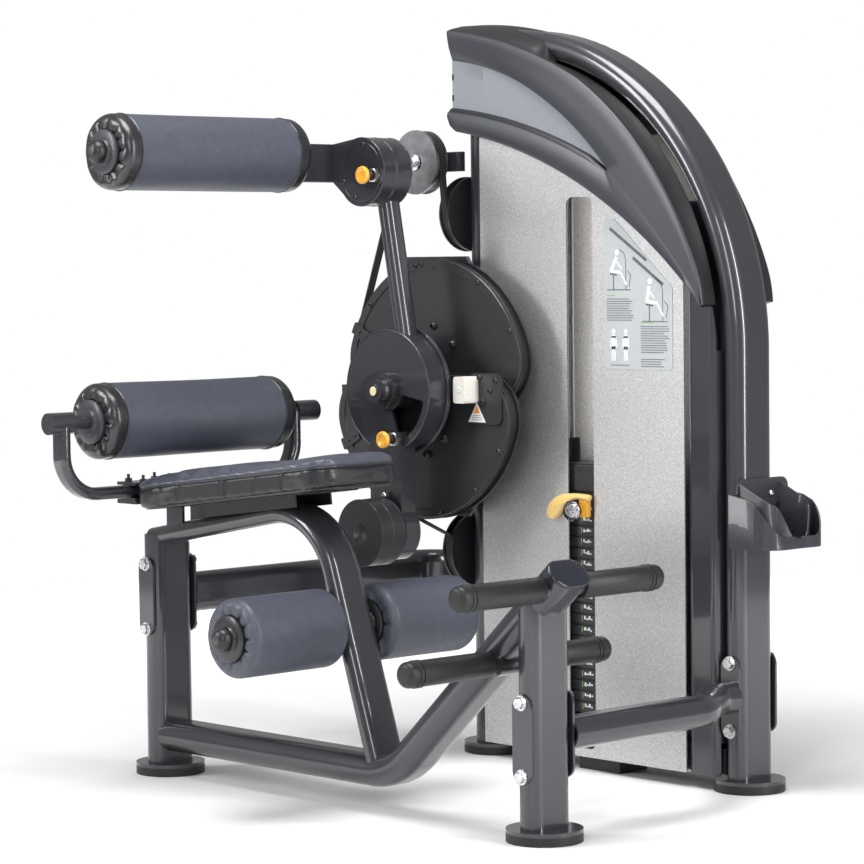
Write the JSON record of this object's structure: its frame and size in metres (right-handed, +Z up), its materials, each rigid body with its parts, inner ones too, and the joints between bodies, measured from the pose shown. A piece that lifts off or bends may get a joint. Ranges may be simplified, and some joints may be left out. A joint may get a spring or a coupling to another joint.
{
  "type": "abdominal crunch and back extension machine",
  "caption": "Seated selectorized gym machine: a swinging chest roller turns belt cams that lift a weight stack in an arched side tower.",
  "frame": {"origin": "on the floor, at the centre of the machine's footprint box", "axes": "+X is the way the seated user faces, +Y points from the seat to the weight tower, +Z is up"},
  "size_m": [1.2095, 1.0852, 1.5],
  "materials": {
    "frame_paint": "charcoal metallic gloss powder coat",
    "satin_black_paint": "satin black powder coat",
    "zinc_steel": "bright zinc plate",
    "chromed_steel": "polished chrome",
    "black_rubber": "matte moulded rubber",
    "belt_rubber": "ribbed belt",
    "black_plastic": "fine-grained black",
    "vinyl": "matte blue-grey upholstery vinyl over foam",
    "silver_panel_paint": "speckled silver texture paint",
    "shroud_plastic": "satin graphite",
    "cast_plates": "black paint",
    "amber_plastic": "gloss amber",
    "placard_film": "printed film",
    "silver_pulley": "zinc-plated face"
  },
  "bodies": {
    "root": {"rear_post": "frame_paint", "front_post": "frame_paint", "base_beam": "frame_paint", "beam_end_cap": "black_plastic", "seat_tube": "frame_paint", "front_cross_tube": "frame_paint", "rear_cross_tube": "frame_paint", "joint_plates": "frame_paint", "frame_bolts": "zinc_steel", "rubber_feet": "black_rubber", "foot_bars": "frame_paint", "foot_bar_grips": "black_rubber", "seat_pad": "vinyl", "seat_plate": "zinc_steel", "lumbar_yoke": "frame_paint", "yoke_clamps": "frame_paint", "leg_axle": "frame_paint", "left_upright": "frame_paint", "arch_tube": "frame_paint", "side_trim": "frame_paint", "tower_base": "frame_paint", "front_panel": "silver_panel_paint", "rear_panel": "silver_panel_paint", "front_shroud": "shroud_plastic", "rear_shroud": "shroud_plastic", "guide_rods": "chromed_steel", "stack_bumpers": "black_rubber", "weight_plates": "cast_plates", "cup_holder": "black_plastic", "placard": "placard_film", "cam_support": "frame_paint", "main_shaft": "satin_black_paint", "pulley_brackets": "frame_paint", "upper_belt": "belt_rubber", "lower_belt": "belt_rubber"},
    "cam": {"upper_cam": "satin_black_paint", "lower_cam": "satin_black_paint", "cam_fittings": "satin_black_paint"},
    "arm": {"swing_arm": "frame_paint", "arm_tube": "frame_paint", "counterweight": "satin_black_paint"},
    "start_pin_body": {"start_pin": "amber_plastic"},
    "pad_bracket_body": {"pad_bracket": "frame_paint"},
    "tilt_pin_body": {"tilt_pin": "amber_plastic"},
    "chest_roller": {"chest_pad": "vinyl", "chest_caps": "black_plastic"},
    "lumbar_roller": {"lumbar_pad": "vinyl", "lumbar_caps": "black_plastic"},
    "left_leg_roller": {"left_leg_pad": "vinyl", "left_leg_caps": "black_plastic"},
    "right_leg_roller": {"right_leg_pad": "vinyl", "right_leg_caps": "black_plastic"},
    "weight_carriage": {"stack_head": "cast_plates", "lifted_plates": "cast_plates"},
    "selector": {"selector_pin": "amber_plastic"},
    "guide_pulley_body": {"guide_pulley": "silver_pulley"},
    "upper_side_pulley_body": {"upper_side_pulley": "black_plastic"},
    "lower_side_pulley_body": {"lower_side_pulley": "black_plastic"},
    "top_pulley_body": {"top_pulley": "black_plastic"}
  },
  "joints": [
    {"name": "cam_swing", "type": "hinge", "parent": "root", "child": "cam", "pos_m": [-0.2815, 0.2695, 0.757], "axis": [0, 1, 0], "range_deg": [0, 70], "deforming": ["lower_belt", "upper_belt"]},
    {"name": "arm_adjust", "type": "hinge", "parent": "cam", "child": "arm", "pos_m": [-0.2815, 0.1855, 0.757], "axis": [0, 1, 0], "range_deg": [-30, 40]},
    {"name": "start_pin_push", "type": "slide", "parent": "arm", "child": "start_pin_body", "axis": [0, 1, 0], "range_m": [0, 0.012]},
    {"name": "pad_tilt", "type": "hinge", "parent": "arm", "child": "pad_bracket_body", "pos_m": [-0.3155, 0.1435, 1.196], "axis": [0, 1, 0], "range_deg": [-40, 40]},
    {"name": "tilt_pin_push", "type": "slide", "parent": "pad_bracket_body", "child": "tilt_pin_body", "axis": [0, 1, 0], "range_m": [0, 0.012]},
    {"name": "chest_roller_spin", "type": "hinge", "parent": "pad_bracket_body", "child": "chest_roller", "pos_m": [-0.4115, -0.2075, 1.23], "axis": [0, 1, 0], "continuous": true},
    {"name": "lumbar_roller_spin", "type": "hinge", "parent": "root", "child": "lumbar_roller", "pos_m": [-0.4695, -0.2075, 0.714], "axis": [0, 1, 0], "continuous": true},
    {"name": "left_leg_roller_spin", "type": "hinge", "parent": "root", "child": "left_leg_roller", "pos_m": [0.0035, -0.3755, 0.338], "axis": [0, 1, 0], "continuous": true},
    {"name": "right_leg_roller_spin", "type": "hinge", "parent": "root", "child": "right_leg_roller", "pos_m": [0.0035, -0.0395, 0.338], "axis": [0, 1, 0], "continuous": true},
    {"name": "weight_lift", "type": "slide", "parent": "root", "child": "weight_carriage", "axis": [0, 0, 1], "range_m": [0, 0.33]},
    {"name": "selector_pull", "type": "slide", "parent": "weight_carriage", "child": "selector", "axis": [0, -1, 0], "range_m": [0, 0.06]},
    {"name": "guide_pulley_spin", "type": "hinge", "parent": "root", "child": "guide_pulley_body", "pos_m": [-0.3555, 0.3295, 1.219], "axis": [0, 1, 0], "continuous": true},
    {"name": "upper_side_pulley_spin", "type": "hinge", "parent": "root", "child": "upper_side_pulley_body", "pos_m": [-0.2955, 0.4115, 1.112], "axis": [1, 0, 0], "continuous": true},
    {"name": "lower_side_pulley_spin", "type": "hinge", "parent": "root", "child": "lower_side_pulley_body", "pos_m": [-0.2955, 0.4115, 0.42], "axis": [1, 0, 0], "range_deg": [-260, 5]},
    {"name": "top_pulley_spin", "type": "hinge", "parent": "root", "child": "top_pulley_body", "pos_m": [0.0025, 0.4875, 1.3], "axis": [0, 1, 0], "range_deg": [-320, 5]}
  ],
  "couplings": [
    {"joint": "weight_lift", "follows": "cam_swing", "m_per_rad": 0.2598},
    {"joint": "lower_side_pulley_spin", "follows": "cam_swing", "ratio": -3.6083},
    {"joint": "top_pulley_spin", "follows": "cam_swing", "ratio": -4.4793},
    {"joint": "upper_side_pulley_spin", "follows": "guide_pulley_spin", "ratio": 0.8333}
  ]
}
